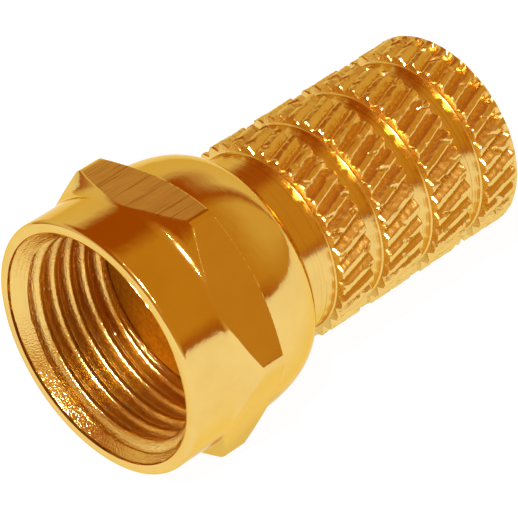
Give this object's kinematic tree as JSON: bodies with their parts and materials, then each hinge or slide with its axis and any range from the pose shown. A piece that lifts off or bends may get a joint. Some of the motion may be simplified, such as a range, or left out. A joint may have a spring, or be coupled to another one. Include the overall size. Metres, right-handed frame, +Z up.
{
  "type": "twist-on coaxial plug",
  "caption": "Gold-plated coaxial plug: a free-spinning hexagon coupling nut with an internal thread on a knurled sleeve that twists onto a cable.",
  "frame": {"origin": "centre of the bounding box's footprint, on the surface that the plug lies on with one flat of its nut down", "axes": "+X along the plug's axis from the nut's open mouth to the cable end, +Z up and square to the nut's top flat, +Y across"},
  "size_m": [0.0192, 0.0126, 0.011],
  "materials": {
    "nut_plating": "polished gold-coloured plating with fine drawing and turning marks",
    "sleeve_plating": "gold-coloured plating, turned neck and grooves, diamond-knurled bands",
    "ferrule_plating": "satin gold-coloured plating, turned"
  },
  "bodies": {
    "barrel": {"cable_sleeve": "sleeve_plating", "flanged_ferrule": "ferrule_plating"},
    "nut": {"coupling_nut": "nut_plating"}
  },
  "joints": [
    {"name": "nut_spin", "type": "hinge", "parent": "barrel", "child": "nut", "pos_m": [-0.0072, 0, 0.0055], "axis": [1, 0, 0], "continuous": true}
  ]
}
